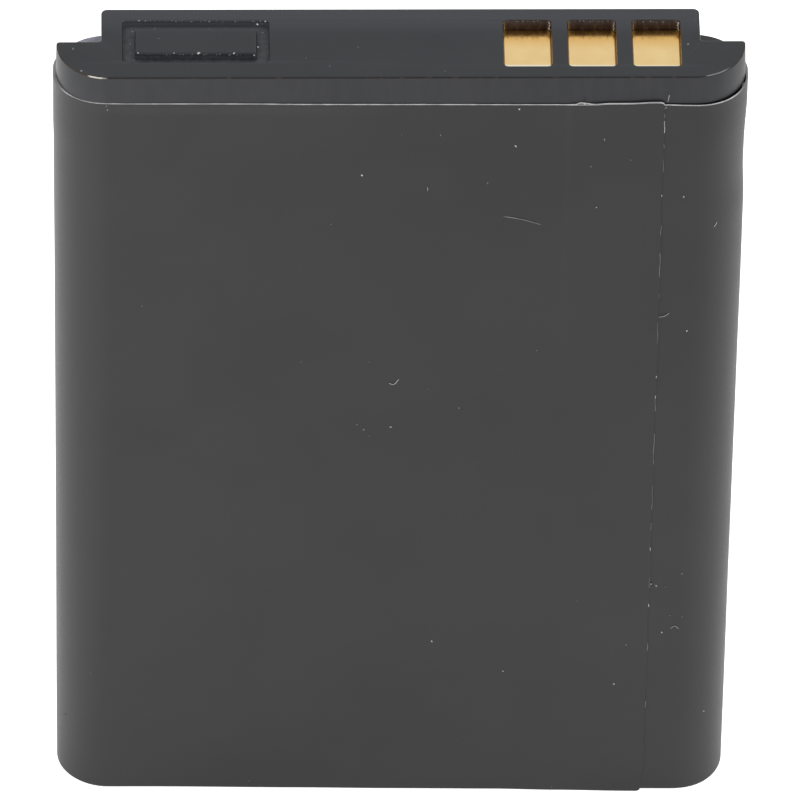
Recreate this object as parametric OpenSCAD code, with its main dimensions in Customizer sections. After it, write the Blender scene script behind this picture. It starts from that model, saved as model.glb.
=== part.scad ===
/* [Whole battery] */
// Width across the label film
battery_w = 34.2; // [28.6:0.1:50]
// Thickness across the label film
battery_t = 5.35; // [4.25:0.05:7]
// Height from the base to the top of the cap
battery_h = 48.8; // [30:0.2:80]

/* [Label film] */
// Thickness of the printed film
film_t = 0.09; // [0.05:0.01:0.15]
// Glue between the film and what it is wrapped round
film_glue = 0.01; // [0.005:0.005:0.05]
// Height of the film's lower edge above the base
film_foot = 0.22; // [0.2:0.01:0.6]
// Height of cap that stands above the film
cap_band = 1.68; // [1.2:0.02:2.2]
// Distance of the seam from the right side
seam_inset = 4.05; // [3.6:0.05:8]
// How far the film's two ends lap over each other
film_lap = 4.45; // [2:0.05:8]
// How far the lapped double film reaches past the single film, at top and foot
lap_reach = 0.16; // [0:0.02:0.2]
// Length over which the outer film climbs onto the inner one
lap_ramp = 0.45; // [0.2:0.05:1]

/* [Cell] */
// Rounding round the foot of the drawn can
can_foot_r = 0.6; // [0.2:0.05:1]
// Wall of the can, up to the weld that holds the lid
can_wall = 0.35; // [0.2:0.05:0.6]
// Depth and width of the weld's trough round the lid
weld_trough = 0.08; // [0.04:0.01:0.15]
// Length and width of the scored vent in the lid
vent_size = [4, 1.6];
// Distance of the vent's middle from the left side of the cell
vent_inset = 5.5; // [4.5:0.1:8]

/* [Bottom cap] */
// Thickness of the moulded plate under the cell
bottom_cap_t = 0.75; // [0.75:0.05:1.5]
// Rounding of its lower edge
bottom_cap_edge = 0.6; // [0.3:0.05:0.65]
// Depth of the recess that takes the tape
tape_recess = 0.1; // [0.05:0.01:0.2]
// Thickness of the double-sided tape
tape_t = 0.15; // [0.1:0.01:0.3]
// Distance of the tape from the plate's edge
tape_inset = 0.7; // [0.5:0.05:1.2]

/* [Top cap] */
// Gap between the cap's side and the film round it
cap_gap = 0.05; // [0.01:0.01:0.08]
// Side wall round the board
cap_wall = 0.5; // [0.3:0.05:0.6]
// Bevel along the cap's top edge
cap_edge = 0.06; // [0.02:0.01:0.2]
// Depth of the step round the cap that leaves room for the film's edge
step_d = 0.07; // [0.02:0.01:0.15]
// Height of the step's upper face above the film
step_h = 0.17; // [0.1:0.01:0.3]
// Width of each rear corner notch, in from the side
notch_w = 2.24; // [1:0.01:3]
// Depth of each rear corner notch, in from the rear face
notch_d = 2.39; // [1:0.01:2.6]
// Height of the notch's ledge above the film, at the rear edge
ledge_low = 0.04; // [0.02:0.01:0.2]
// Height of the ledge above the film, at the notch's front wall
ledge_high = 0.3; // [0.1:0.01:0.6]
// Rounding of the upright edge between each notch and the rear face, and of the notch's inner corner
notch_r = 0.2; // [0.05:0.05:0.3]
// Wall between each notch and the board's pocket
notch_wall = 0.55; // [0.4:0.05:1]
// Wall round the hollow in each end of the cap
end_wall = 0.6; // [0.4:0.05:0.8]

/* [Contact windows] */
// Depth from the cap's top to the contacts
window_depth = 0.69; // [0.6:0.01:0.9]
// Width of a window
window_w = 2.4; // [1.8:0.05:2.9]
// Spacing of the windows, middle to middle
window_pitch = 3.17; // [3.1:0.01:4]
// Distance from the right notch to the last window
window_side = 0.95; // [0.7:0.01:1.5]
// Distance from the rear wall of the board's pocket to the windows
window_rear = 0.32; // [0.3:0.01:0.6]
// Distance from the windows to the front wall of the board's pocket
window_front = 0.32; // [0.3:0.01:0.6]
// Radius of a window's corners
window_r = 0.24; // [0.1:0.02:0.4]

/* [Ring groove] */
// Length of the groove's outline along the cap
ring_l = 7.19; // [5:0.05:8]
// Width of the groove
ring_groove = 0.6; // [0.3:0.02:0.7]
// Depth of the groove
ring_depth = 0.5; // [0.2:0.01:0.55]
// Distance from the left notch to the groove
ring_side = 1.04; // [0.6:0.02:2]
// Distance from the cap's rear face to the groove
ring_rear = 0.83; // [0.6:0.01:1]
// Distance from the groove to the cap's front face
ring_front = 1.28; // [0.6:0.01:1.4]
// Radius of its outer corners; the raised middle has half as much
ring_r = 0.16; // [0.04:0.02:0.3]

/* [Circuit board] */
// Thickness of the board
board_t = 0.6; // [0.4:0.05:0.8]
// Gap round the board in the cap
board_gap = 0.08; // [0.05:0.01:0.15]
// Thickness of a plated contact
contact_t = 0.05; // [0.03:0.01:0.1]
// How far a contact reaches past its window, under the cap
contact_lap = 0.1; // [0.05:0.01:0.14]
// Free height between the cell's lid and the board
terminal_room = 1.55; // [1.45:0.01:2.2]

/* [Parts on the board] */
// Body of a six-legged chip: length, width and height
chip_body = [2.9, 1.6, 0.95];
// Width over a chip's legs
chip_span = 2.7; // [2.2:0.05:2.8]
// Width and thickness of a chip's leg
chip_leg = [0.4, 0.12];
// Spacing of a chip's legs
leg_pitch = 0.95; // [0.6:0.05:1]
// Small resistor or capacitor: length, width and height
passive = [1, 0.5, 0.35];
// Thickness of the metal on its ends
end_plating = 0.03; // [0.01:0.01:0.05]
// Distance of the small parts from the board's long edges
passive_edge = 0.3; // [0.1:0.05:0.6]

/* [Cell terminals] */
// Plastic gasket under the negative terminal: length, width and height
gasket = [4, 2.4, 0.2];
// Head of the negative terminal: length, width and height
rivet_head = [3, 1.7, 0.18];
// Diameter and height of the plug in the filling hole
plug_size = [1.3, 0.15];
// Distance of the plug from the middle of the lid
plug_x = 4; // [3.2:0.1:6]
// Clad plate welded to the lid under the positive lead: length, width and height
clad_plate = [2.2, 2.4, 0.15];
// Thickness of the insulating paper on the lid
paper_t = 0.12; // [0.08:0.01:0.2]
// Free space round what stands through the paper
paper_gap = 0.15; // [0.05:0.05:0.4]

/* [Leads and fuse] */
// Thickness of a nickel lead
lead_t = 0.12; // [0.08:0.01:0.2]
// Width of a nickel lead
lead_w = 1.8; // [1:0.1:2.4]
// Straight length of a lead where it is welded or soldered
lead_foot = 1.3; // [0.8:0.1:2]
// Thermal fuse: length, width and height
fuse = [4.6, 2.4, 0.7];
// Length of the straight lead between the terminal and the fuse
fuse_reach = 1; // [0.5:0.1:2]
// Rounding of the fuse's long edges
fuse_r = 0.2; // [0.05:0.05:0.3]
// Free space between parts that stand side by side
part_space = 0.35; // [0.2:0.05:0.6]

/* [Hidden] */

$fn = 96;
// A cut reaches this far past the face that it opens
past = 0.5;
// Segments in a rounded edge
edge_steps = 5;

// Outline shared by the cell, under the film
cell_w = battery_w - 2 * (film_t + film_glue);
cell_t = battery_t - 2 * (film_t + film_glue);
// Outline of the two moulded caps
cap_w = cell_w - 2 * cap_gap;
cap_t = cell_t - 2 * cap_gap;

// Levels, from the top down to the cell's lid, then from the base up to its foot
film_top = battery_h - cap_band;
contact_top = battery_h - window_depth;
board_top = contact_top - contact_t;
board_bottom = board_top - board_t;
lid_top = board_bottom - terminal_room;
cap_foot = lid_top + tape_t;
cell_foot = bottom_cap_t - tape_recess + tape_t;

// Places along the cap
notch_x = cap_w / 2 - notch_w;
notch_y = cap_t / 2 - notch_d;
pocket_x = notch_x - notch_wall;
pocket_y = cap_t / 2 - cap_wall;
board_l = 2 * (pocket_x - board_gap);
board_w = 2 * (pocket_y - board_gap);
window_l = 2 * pocket_y - window_rear - window_front;
window_y = (window_front - window_rear) / 2;
window_last = notch_x - window_side - window_w / 2;
ring_w = cap_t - ring_rear - ring_front;
ring_x = ring_side + ring_l / 2 - notch_x;
ring_y = (ring_front - ring_rear) / 2;

// Places along the film's front
seam_x = battery_w / 2 - seam_inset;
lap_x = seam_x - film_lap;

// Places of what stands on the lid and hangs from the board
lead_z = lid_top + gasket[2] + rivet_head[2];
plate_x = board_l / 2 - part_space - clad_plate[0] / 2;
switch_x = plate_x - clad_plate[0] / 2 - part_space - chip_body[0] / 2;
protection_x = switch_x - chip_body[0] - part_space;
fuse_right = -rivet_head[0] / 2 - fuse_reach;
passive_y = board_w / 2 - passive_edge - passive[1] / 2;

// Points of an arc about a centre
function arc(middle, r, from, to) =
    [for (i = [0:edge_steps]) let (a = from + (to - from) * i / edge_steps)
        [middle[0] + r * cos(a), middle[1] + r * sin(a)]];

// One half of an upright section, from the middle out: square where an edge has no rounding. Below the step
// level it can be set back.
function half_section(half_t, low, high, foot_r, crown, step) = concat(
    foot_r > 0 ? arc([half_t - foot_r, low + foot_r], foot_r, -90, 0)
               : step[0] > 0 ? [[half_t - step[0], low], [half_t - step[0], step[1]], [half_t, step[1]]]
                             : [[half_t, low]],
    crown > 0 ? [[half_t, high - crown], [half_t - crown, high]] : [[half_t, high]]);

// The same list of points, mirrored and in the opposite order
function mirrored(points) = [for (i = [len(points) - 1:-1:0]) [-points[i][0], points[i][1]]];

// Flat outline with two full-round ends
module round_ended(w, t) {
    square([w - t, t], center = true);
    for (side = [-1, 1])
        translate([side * (w - t) / 2, 0])
            circle(d = t);
}

// Upright solid on a round-ended outline, with a rounded foot, a bevelled crown and a step of a depth and level
module round_ended_block(w, t, low, high, foot_r = 0, crown = 0, step = [0, 0]) {
    half = half_section(t / 2, low, high, foot_r, crown, step);
    rotate([90, 0, 90])
        linear_extrude(w - t, center = true)
            polygon(concat(half, mirrored(half)));
    for (side = [-1, 1])
        translate([side * (w - t) / 2, 0, 0])
            rotate_extrude()
                polygon(concat([[0, low]], half, [[0, high]]));
}

module slab(x, y, low, high, size) {
    translate([x, y, low])
        linear_extrude(high - low)
            square(size, center = true);
}

// Rectangle with round corners
module round_cornered(size, r) {
    square([size[0] - 2 * r, size[1]], center = true);
    square([size[0], size[1] - 2 * r], center = true);
    for (i = [-1, 1])
        for (j = [-1, 1])
            translate([i * (size[0] / 2 - r), j * (size[1] / 2 - r)])
                circle(r, $fn = 32);
}

// Outline of the film seen from above: one turn, and the outer end lapped over the inner one
module film_outline() {
    difference() {
        round_ended(battery_w, battery_t);
        round_ended(cell_w + 2 * film_glue, cell_t + 2 * film_glue);
    }
    film_lap_outline();
}

module film_lap_outline() {
    face = -battery_t / 2;
    polygon([[lap_x - lap_ramp, face + film_t / 2], [lap_x - lap_ramp, face], [lap_x, face - film_t],
             [seam_x, face - film_t], [seam_x, face + film_t / 2]]);
}

module label_wrap() {
    color([0.28, 0.27, 0.28]) {
        translate([0, 0, film_foot])
            linear_extrude(film_top - film_foot)
                film_outline();
        translate([0, 0, film_foot - lap_reach])
            linear_extrude(film_top - film_foot + 2 * lap_reach)
                intersection() {
                    film_outline();
                    translate([lap_x, -battery_t])
                        square([film_lap, battery_t]);
                }
    }
}

// Cut for one window
module window_cut(x) {
    translate([x, window_y, contact_top - past])
        linear_extrude(window_depth + 2 * past)
            round_cornered([window_w, window_l], window_r);
}

// Cut for the rectangular groove, round its raised middle
module ring_cut() {
    translate([ring_x, ring_y, battery_h - ring_depth])
        linear_extrude(ring_depth + past)
            difference() {
                round_cornered([ring_l, ring_w], ring_r);
                round_cornered([ring_l - 2 * ring_groove, ring_w - 2 * ring_groove], ring_r / 2);
            }
}

// Right notch seen from above: its inner corner and the block's rear corner are rounded
module notch_plan() {
    rear = cap_t / 2;
    outer = cap_w / 2 + past;
    polygon(concat([[outer, notch_y]], arc([notch_x + notch_r, notch_y + notch_r], notch_r, 270, 180),
                   arc([notch_x - notch_r, rear - notch_r], notch_r, 0, 90),
                   [[notch_x - notch_r, rear + past], [outer, rear + past]]));
}

// Cut for one rear corner notch, down to a ledge that slopes to the rear
module notch_cut(side) {
    rear = cap_t / 2;
    slope = (ledge_high - ledge_low) / (rear - notch_y);
    intersection() {
        translate([0, 0, film_top - past])
            linear_extrude(cap_band + 2 * past)
                scale([side, 1])
                    notch_plan();
        translate([side * (notch_x + notch_w / 2), 0, 0])
            rotate([90, 0, 90])
                linear_extrude(notch_w + 4 * past, center = true)
                    polygon([[notch_y - past, film_top + ledge_high + slope * past],
                             [rear + past, film_top + ledge_low - slope * past],
                             [rear + past, battery_h + past], [notch_y - past, battery_h + past]]);
    }
}

// Hollow in one end of the cap, open below, that keeps the moulding's walls even
module end_hollow(side) {
    inner = pocket_x + end_wall;
    outer = cap_w / 2 - end_wall;
    depth = notch_y - 2 * end_wall + cap_t / 2;
    intersection() {
        slab(side * (inner + outer) / 2, notch_y - end_wall - depth / 2, cap_foot - past,
             contact_top, [outer - inner, depth]);
        round_ended_block(cap_w - 2 * end_wall, cap_t - 2 * end_wall, cap_foot - past, contact_top);
    }
}

module top_cap() {
    color([0.26, 0.27, 0.29])
        difference() {
            round_ended_block(cap_w, cap_t, cap_foot, battery_h, crown = cap_edge,
                              step = [step_d, film_top + step_h]);
            slab(0, 0, cap_foot - past, contact_top, 2 * [pocket_x, pocket_y]);
            for (i = [0:2])
                window_cut(window_last - i * window_pitch);
            ring_cut();
            for (side = [-1, 1]) {
                notch_cut(side);
                end_hollow(side);
            }
        }
}

module bottom_cap() {
    color([0.2, 0.2, 0.21])
        difference() {
            round_ended_block(cap_w, cap_t, 0, bottom_cap_t, foot_r = bottom_cap_edge);
            translate([0, 0, bottom_cap_t - tape_recess])
                linear_extrude(tape_recess + past)
                    round_ended(cap_w - 2 * tape_inset + 2 * cap_gap, cap_t - 2 * tape_inset + 2 * cap_gap);
        }
}

module bottom_tape() {
    color([0.85, 0.84, 0.8])
        translate([0, 0, bottom_cap_t - tape_recess])
            linear_extrude(tape_t)
                round_ended(cap_w - 2 * tape_inset, cap_t - 2 * tape_inset);
}

// Tape between the lid and one end of the top cap, clear of the board's pocket and the hollow
module cap_tape(side) {
    color([0.85, 0.84, 0.8])
        translate([0, 0, lid_top])
            linear_extrude(tape_t)
                difference() {
                    round_ended(cap_w - 2 * (step_d + cap_gap), cap_t - 2 * (step_d + cap_gap));
                    translate([-side * (cap_w / 2 - pocket_x - cap_gap), 0])
                        square([cap_w, 2 * cap_t], center = true);
                }
}

// Groove of one section round a round-ended line
module trough(w, t, width, depth) {
    translate([0, 0, lid_top - depth])
        linear_extrude(depth + past)
            difference() {
                round_ended(w + width, t + width);
                round_ended(w - width, t - width);
            }
}

module cell() {
    vent_x = vent_inset - cell_w / 2;
    color([0.75, 0.76, 0.78])
        difference() {
            round_ended_block(cell_w, cell_t, cell_foot, lid_top, foot_r = can_foot_r);
            trough(cell_w - 2 * can_wall, cell_t - 2 * can_wall, weld_trough, weld_trough);
            translate([vent_x, 0, 0])
                trough(vent_size[0], vent_size[1], weld_trough, weld_trough);
        }
}

module terminal_gasket() {
    color([0.9, 0.9, 0.86])
        translate([0, 0, lid_top])
            linear_extrude(gasket[2])
                round_cornered([gasket[0], gasket[1]], gasket[1] / 4);
}

module negative_terminal() {
    color([0.78, 0.77, 0.74])
        translate([0, 0, lid_top + gasket[2]])
            linear_extrude(rivet_head[2])
                round_cornered([rivet_head[0], rivet_head[1]], rivet_head[1] / 4);
}

module filling_plug() {
    color([0.8, 0.8, 0.8])
        translate([plug_x, 0, lid_top])
            cylinder(h = plug_size[1], d = plug_size[0], $fn = 48);
}

module clad_plate() {
    color([0.74, 0.73, 0.7])
        slab(plate_x, 0, lid_top, lid_top + clad_plate[2], [clad_plate[0], clad_plate[1]]);
}

// The paper covers the lid from the left tape to the clad plate
module insulating_paper() {
    left = -pocket_x;
    right = plate_x - clad_plate[0] / 2 - paper_gap;
    color([0.85, 0.8, 0.6])
        translate([0, 0, lid_top])
            linear_extrude(paper_t)
                difference() {
                    translate([(left + right) / 2, 0])
                        square([right - left, 2 * pocket_y], center = true);
                    square([gasket[0], gasket[1]] + 2 * [paper_gap, paper_gap], center = true);
                    translate([plug_x, 0])
                        circle(d = plug_size[0] + 2 * paper_gap, $fn = 48);
                }
}

module thermal_fuse() {
    low = lid_top + paper_t;
    color([0.15, 0.15, 0.16])
        translate([fuse_right - fuse[0] / 2, 0, low + fuse[2] / 2])
            rotate([90, 0, 90])
                linear_extrude(fuse[0], center = true)
                    round_cornered([fuse[1], fuse[2]], fuse_r);
}

// Strip welded on the terminal, up to the fuse
module fuse_lead() {
    color([0.8, 0.79, 0.75])
        slab((fuse_right + rivet_head[0] / 2) / 2, 0, lead_z, lead_z + lead_t,
             [rivet_head[0] / 2 - fuse_right, min(lead_w, rivet_head[1])]);
}

// Strip folded back on itself: a foot, a half-round bend on its outer end and a tail under the board
module folded_lead(x, side, low, foot) {
    height = board_bottom - low;
    color([0.8, 0.79, 0.75])
        translate([x, 0, low])
            rotate([90, 0, 0])
                linear_extrude(lead_w, center = true)
                    scale([side, 1]) {
                        translate([-foot, 0])
                            square([foot, lead_t]);
                        translate([-lead_foot, height - lead_t])
                            square([lead_foot, lead_t]);
                        difference() {
                            translate([0, height / 2])
                                circle(d = height);
                            translate([0, height / 2])
                                circle(d = height - 2 * lead_t);
                            translate([-height, -past])
                                square([height, height + 2 * past]);
                        }
                    }
}

module negative_lead() {
    foot = part_space;
    folded_lead(fuse_right - fuse[0] - foot, -1, lead_z, foot);
}

module positive_lead() {
    low = lid_top + clad_plate[2];
    folded_lead(board_l / 2 - part_space - (board_bottom - low) / 2, 1, low, lead_foot);
}

module circuit_board() {
    color([0.1, 0.35, 0.2])
        translate([0, 0, board_bottom])
            linear_extrude(board_t)
                square([board_l, board_w], center = true);
}

// Contact i counts from the right
module contact(i) {
    color([0.9, 0.74, 0.42])
        slab(window_last - i * window_pitch, window_y, board_top, contact_top,
             [window_w, window_l] + 2 * [contact_lap, contact_lap]);
}

// Chip hung under the board: a body, and six legs bent out to the board
module chip(x) {
    foot = (chip_span - chip_body[1]) / 2;
    color([0.12, 0.12, 0.13])
        slab(x, 0, board_bottom - chip_body[2], board_bottom - chip_leg[1] / 2, [chip_body[0], chip_body[1]]);
    color([0.75, 0.75, 0.75])
        for (i = [-1:1])
            for (side = [-1, 1])
                slab(x + i * leg_pitch, side * (chip_body[1] + foot) / 2, board_bottom - chip_leg[1],
                     board_bottom, [chip_leg[0], foot + chip_leg[1]]);
}

// Small resistor or capacitor hung under the board: a body between two plated ends
module small_part(x, y, tint) {
    plated = passive[0] / 4;
    body = passive[2] - end_plating;
    color(tint)
        slab(x, y, board_bottom - body, board_bottom, [passive[0] - plated, passive[1] - 2 * end_plating]);
    color([0.8, 0.8, 0.78])
        for (side = [-1, 1])
            slab(x + side * (passive[0] - plated) / 2, y, board_bottom - passive[2], board_bottom,
                 [plated, passive[1]]);
}

label_wrap();
top_cap();
bottom_cap();
bottom_tape();
cap_tape(-1);  // left_cap_tape
cap_tape(1);  // right_cap_tape
cell();
terminal_gasket();
negative_terminal();
filling_plug();
clad_plate();
insulating_paper();
thermal_fuse();
fuse_lead();
negative_lead();
positive_lead();
circuit_board();
contact(0);  // positive_contact
contact(1);  // middle_contact
contact(2);  // negative_contact
chip(protection_x);  // protection_chip
chip(switch_x);  // switch_chip
small_part(0, passive_y, [0.1, 0.1, 0.1]);  // supply_resistor
small_part(0, -passive_y, [0.1, 0.1, 0.1]);  // sense_resistor
small_part(protection_x - chip_body[0], 0, [0.1, 0.1, 0.1]);  // code_resistor
small_part(-2 * passive[0], passive_y, [0.6, 0.45, 0.3]);  // supply_capacitor
small_part(-2 * passive[0], -passive_y, [0.6, 0.45, 0.3]);  // filter_capacitor
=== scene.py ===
import math

import bmesh
import bpy
import numpy as np
from mathutils import Matrix, Vector, geometry


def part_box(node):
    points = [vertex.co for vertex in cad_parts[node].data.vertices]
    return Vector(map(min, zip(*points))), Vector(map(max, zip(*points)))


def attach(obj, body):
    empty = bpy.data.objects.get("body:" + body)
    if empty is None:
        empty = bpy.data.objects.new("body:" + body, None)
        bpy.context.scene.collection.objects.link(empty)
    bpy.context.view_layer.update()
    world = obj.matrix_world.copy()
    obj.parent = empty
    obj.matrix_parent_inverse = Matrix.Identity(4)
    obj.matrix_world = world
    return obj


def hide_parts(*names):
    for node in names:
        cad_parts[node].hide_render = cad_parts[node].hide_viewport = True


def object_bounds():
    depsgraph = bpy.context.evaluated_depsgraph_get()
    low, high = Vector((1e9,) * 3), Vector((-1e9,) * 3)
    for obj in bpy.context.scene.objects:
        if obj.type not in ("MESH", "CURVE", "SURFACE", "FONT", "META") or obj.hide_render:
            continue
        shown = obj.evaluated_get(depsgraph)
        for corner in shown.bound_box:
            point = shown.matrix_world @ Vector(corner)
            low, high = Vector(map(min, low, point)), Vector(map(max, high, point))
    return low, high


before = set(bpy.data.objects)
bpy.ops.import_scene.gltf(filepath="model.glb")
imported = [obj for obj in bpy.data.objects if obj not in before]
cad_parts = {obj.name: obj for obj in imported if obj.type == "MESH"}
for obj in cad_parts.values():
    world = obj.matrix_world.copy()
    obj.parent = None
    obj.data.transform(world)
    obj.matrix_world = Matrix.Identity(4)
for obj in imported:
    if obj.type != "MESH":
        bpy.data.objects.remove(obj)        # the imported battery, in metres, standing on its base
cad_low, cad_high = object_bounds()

MM = 0.001

# Camera: a long lens held high in front of the battery, a little to its left and a little out of level,
# so that the contact end and the seam face both show and the sides stay almost parallel.
def linked(name, data):
    """A new object on that camera, lamp or mesh, linked into the scene."""
    made = bpy.data.objects.new(name, data)
    bpy.context.scene.collection.objects.link(made)
    return made


elevation = math.radians(42.96)
turn = math.radians(-1.26)
roll = math.radians(0.99)
distance = 754.1 * MM
aim = Vector((0.249, -0.04, 24.889)) * MM
away = math.cos(elevation)
back = Vector((math.sin(turn) * away, -math.cos(turn) * away, math.sin(elevation)))
level = back.cross(Vector((0, 0, -1))).normalized()
upright = back.cross(level)
across = level * math.cos(roll) + upright * math.sin(roll)
above = upright * math.cos(roll) - level * math.sin(roll)
lens = bpy.data.cameras.new("camera")
lens.sensor_width = 36
lens.lens = 676.35
lens.clip_start = 0.05
lens.clip_end = 20
camera = linked("camera", lens)
facing = Matrix((across, above, back)).transposed().to_4x4()
camera.matrix_world = Matrix.Translation(aim + back * distance) @ facing
bpy.context.scene.camera = camera


# Studio: a white room that lights the battery evenly from all round, with one dark strip where the camera
# stands, a soft lamp close beside the camera and another to the right, over a wide white floor.
def material_tree(name):
    """A new node material: the material, its tree and its Principled shader."""
    made = bpy.data.materials.new(name)
    made.use_nodes = True
    return made, made.node_tree, made.node_tree.nodes["Principled BSDF"]


def maths(tree, operation, first, second):
    """A Math node on two inputs, each a socket or a number; returns its output."""
    node = tree.nodes.new("ShaderNodeMath")
    node.operation = operation
    for socket, value in zip(node.inputs, (first, second)):
        if isinstance(value, (int, float)):
            socket.default_value = value
        else:
            tree.links.new(value, socket)
    return node.outputs[0]


def product(tree, first, *others):
    """The sockets multiplied together."""
    for other in others:
        first = maths(tree, "MULTIPLY", first, other)
    return first


def between(tree, value, low, high, to_low=0.0, to_high=1.0):
    """value mapped smoothly from low..high to to_low..to_high, and held there; returns its output."""
    node = tree.nodes.new("ShaderNodeMapRange")
    node.interpolation_type = "SMOOTHSTEP"
    for name, number in (("From Min", low), ("From Max", high), ("To Min", to_low), ("To Max", to_high)):
        node.inputs[name].default_value = number
    tree.links.new(value, node.inputs["Value"])
    return node.outputs["Result"]


def place_in(tree, space="Object"):
    """The X, Y and Z sockets of the place on the object, in metres, or of the way into the world."""
    split = tree.nodes.new("ShaderNodeSeparateXYZ")
    tree.links.new(tree.nodes.new("ShaderNodeTexCoord").outputs[space], split.inputs["Vector"])
    return split.outputs


def white_room():
    """A world that is white to the camera, and to the rest even and a little greyer, but dark in the
    upright strip where the camera stands."""
    world = bpy.data.worlds.new("white_room")
    world.use_nodes = True
    tree = world.node_tree
    where = place_in(tree, "Generated")
    beside = between(tree, maths(tree, "ABSOLUTE", where["X"], 0.0), 0.06, 0.2, 1, 0)
    ahead = between(tree, where["Y"], -0.45, -0.15, 1, 0)
    strip = product(tree, beside, ahead, between(tree, where["Z"], 0.15, 0.45))
    room = between(tree, strip, 0, 1, 0.86, 0.12)
    camera_ray = tree.nodes.new("ShaderNodeLightPath").outputs["Is Camera Ray"]
    tree.links.new(maths(tree, "MAXIMUM", room, camera_ray), tree.nodes["Background"].inputs["Strength"])
    tree.nodes["Background"].inputs["Color"].default_value = (1, 1, 1, 1)
    bpy.context.scene.world = world


def soft_lamp(name, place, size, watts):
    """A square area lamp at place, aimed at the top of the battery."""
    lamp = bpy.data.lights.new(name, "AREA")
    lamp.size = size
    lamp.energy = watts
    holder = linked(name, lamp)
    towards = (Vector((0, 0, 0.03)) - Vector(place)).to_track_quat("-Z", "Y")
    holder.matrix_world = Matrix.Translation(place) @ towards.to_matrix().to_4x4()


def mesh_of(name, points, faces, kinds=None, sharp=None):
    """A mesh from points in metres. kinds are the faces' material slots. Where sharp is given, the mesh is
    shaded smooth, apart from the edges that turn by more than that, in degrees."""
    mesh = bpy.data.meshes.new(name)
    mesh.from_pydata(points.tolist(), [], faces)
    if kinds is not None:
        mesh.polygons.foreach_set("material_index", np.array(kinds, np.int32))
    if sharp is not None:
        mesh.polygons.foreach_set("use_smooth", np.ones(len(faces), bool))
    mesh.update()
    if sharp is not None:
        mesh.set_sharp_from_angle(angle=math.radians(sharp))
    return mesh


def white_floor(radius=3.0, corners=96):
    """A flat disc under the battery, lit by the room. It also glows: to the camera, so that it shows white,
    and round the battery, most on the left, as card does that light reaches from all sides."""
    turns = np.linspace(0, 2 * np.pi, corners, endpoint=False)
    rim = np.stack([radius * np.cos(turns), radius * np.sin(turns), np.full(corners, -0.01 * MM)], 1)
    floor = linked("floor", mesh_of("floor", rim, [list(range(corners))]))
    paint, tree, shader = material_tree("floor_white")
    shader.inputs["Base Color"].default_value = (0.9, 0.9, 0.9, 1)
    shader.inputs["Roughness"].default_value = 1
    shader.inputs["Specular IOR Level"].default_value = 0
    shader.inputs["Emission Color"].default_value = (1, 1, 1, 1)
    where = place_in(tree)
    left = between(tree, where["X"], -6 * MM, -23 * MM, 0, 0.4)
    slanted = maths(tree, "ADD", where["X"], maths(tree, "MULTIPLY", where["Y"], 0.6))
    near_right = between(tree, slanted, 17 * MM, 23 * MM, 0, 0.24)
    far_right = between(tree, where["X"], 26 * MM, 60 * MM, 0, 0.22)
    ahead = between(tree, maths(tree, "ABSOLUTE", where["Y"], 0.0), 46 * MM, 14 * MM, 0, 0.27)
    beside = maths(tree, "ADD", left, maths(tree, "SUBTRACT", near_right, far_right))
    beside = maths(tree, "MAXIMUM", beside, ahead)
    camera_ray = tree.nodes.new("ShaderNodeLightPath").outputs["Is Camera Ray"]
    glow = maths(tree, "MAXIMUM", beside, maths(tree, "MULTIPLY", camera_ray, 0.9))
    tree.links.new(glow, shader.inputs["Emission Strength"])
    floor.data.materials.append(paint)


white_room()
soft_lamp("left_lamp", (-0.42, -0.79, 0.91), 0.24, 1.7)
soft_lamp("right_lamp", (0.92, -0.46, 0.80), 0.24, 1.7)
white_floor()
bpy.context.scene.view_settings.view_transform = "Standard"


# Film: one sheet of dark matte film, wrapped once round the cell and both caps and glued over its own start
# near the right of the front. It was cut by hand to length, so its edges wander, and its pale core shows
# along the top and the foot. Sizes here are in millimetres until the mesh is made.
film_half_w = 17.04
film_half_t = 2.64
film_reach = 17.098
film_top = 47.12
film_thin = 0.04
rim_thick = 0.08
lap_gap = 0.012
end_crease = 0.06
film_corner = 0.24
seam_x = 12.95
lap = 4.45
film_end = film_half_w - film_half_t
bend = math.pi * film_half_t
to_bend = film_end - seam_x + lap
once_round = 4 * film_end + 2 * bend


def step_up(value, start, length):
    """A smooth step from 0 to 1 over length, from start."""
    ramp = np.clip((value - start) / length, 0, 1)
    return ramp * ramp * (3 - 2 * ramp)


def eased(value, places, levels):
    """The levels at those places, joined by smooth steps."""
    total = levels[0] + 0 * value
    for place, following, level_here, level_next in zip(places, places[1:], levels, levels[1:]):
        total = total + (level_next - level_here) * step_up(value, place, following - place)
    return total


def round_ended_path(along):
    """Points and outward normals at distances along the film's round-ended outline, anticlockwise seen from
    above, from its start on the front: to the right bend, a half circle, the straight back, a half circle on
    the left and the straight front."""
    straight = 2 * film_end
    turned = np.mod(along - to_bend, once_round)
    parts = [turned < bend, turned < bend + straight, turned < 2 * bend + straight]
    angle = np.select(parts, [turned / film_half_t - np.pi / 2, np.pi / 2,
                              (turned - bend - straight) / film_half_t + np.pi / 2], 1.5 * np.pi)
    centre = np.select(parts, [film_end, film_end - (turned - bend), -film_end],
                       turned - 2 * bend - straight - film_end)
    normal = np.stack([np.cos(angle), np.sin(angle), np.zeros_like(angle)], -1)
    point = film_half_t * normal
    point[..., 0] += centre
    return point, normal


def side_swell(point, height):
    """How far the film stands out at the two sides, more at the top, with a buckle high on the right side."""
    right = eased(height, (0, 10, 20, 28, 35, 39, 41.4, 43.6, 46.2),
                  (-0.015, 0.0, 0.02, 0.03, 0.05, 0.05, -0.03, -0.02, 0.035))
    left = eased(height, (0, 8, 24, 33, 41, 44, 46.5), (-0.01, 0.0, 0.01, 0.02, 0.046, 0.046, 0.045))
    share = step_up(np.abs(point[..., 0]), 11, 5)
    return np.where(point[..., 0] > 0, right, -left) * share


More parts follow.
